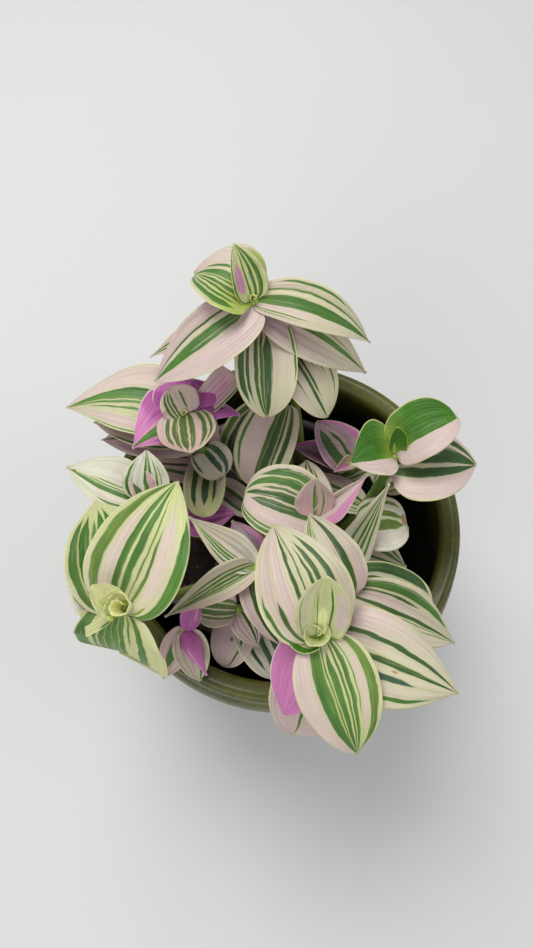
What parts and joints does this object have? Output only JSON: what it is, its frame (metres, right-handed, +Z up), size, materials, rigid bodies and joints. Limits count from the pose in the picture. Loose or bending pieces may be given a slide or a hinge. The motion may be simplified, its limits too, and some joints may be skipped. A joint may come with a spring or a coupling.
{
  "type": "potted tradescantia",
  "caption": "Variegated trailing foliage plant with arching leafy shoots, growing in a nursery pot that stands inside a bellied glazed cover pot.",
  "frame": {"origin": "middle of the flat foot of the cover pot, on the surface it stands on", "axes": "+Z up along the axis of the cover pot; -Y is the front of the plant, towards the picture's camera; +X to the right in the picture"},
  "size_m": [0.1808, 0.1895, 0.2221],
  "materials": {
    "pot_glaze": "gloss",
    "nursery_plastic": "satin",
    "soil": "matte",
    "foliage": "satin"
  },
  "bodies": {
    "root": {"pot": "pot_glaze", "nursery_pot": "nursery_plastic", "soil": "soil", "shoot_back": "foliage", "shoot_back_low": "foliage", "shoot_left_back": "foliage", "shoot_left": "foliage", "shoot_left_front": "foliage", "shoot_front": "foliage", "shoot_front_right": "foliage", "shoot_right": "foliage", "shoot_centre": "foliage", "shoot_right_low": "foliage", "shoot_centre_front": "foliage", "shoot_front_left_low": "foliage", "shoot_front_low": "foliage", "shoot_right_back_low": "foliage"}
  },
  "joints": []
}
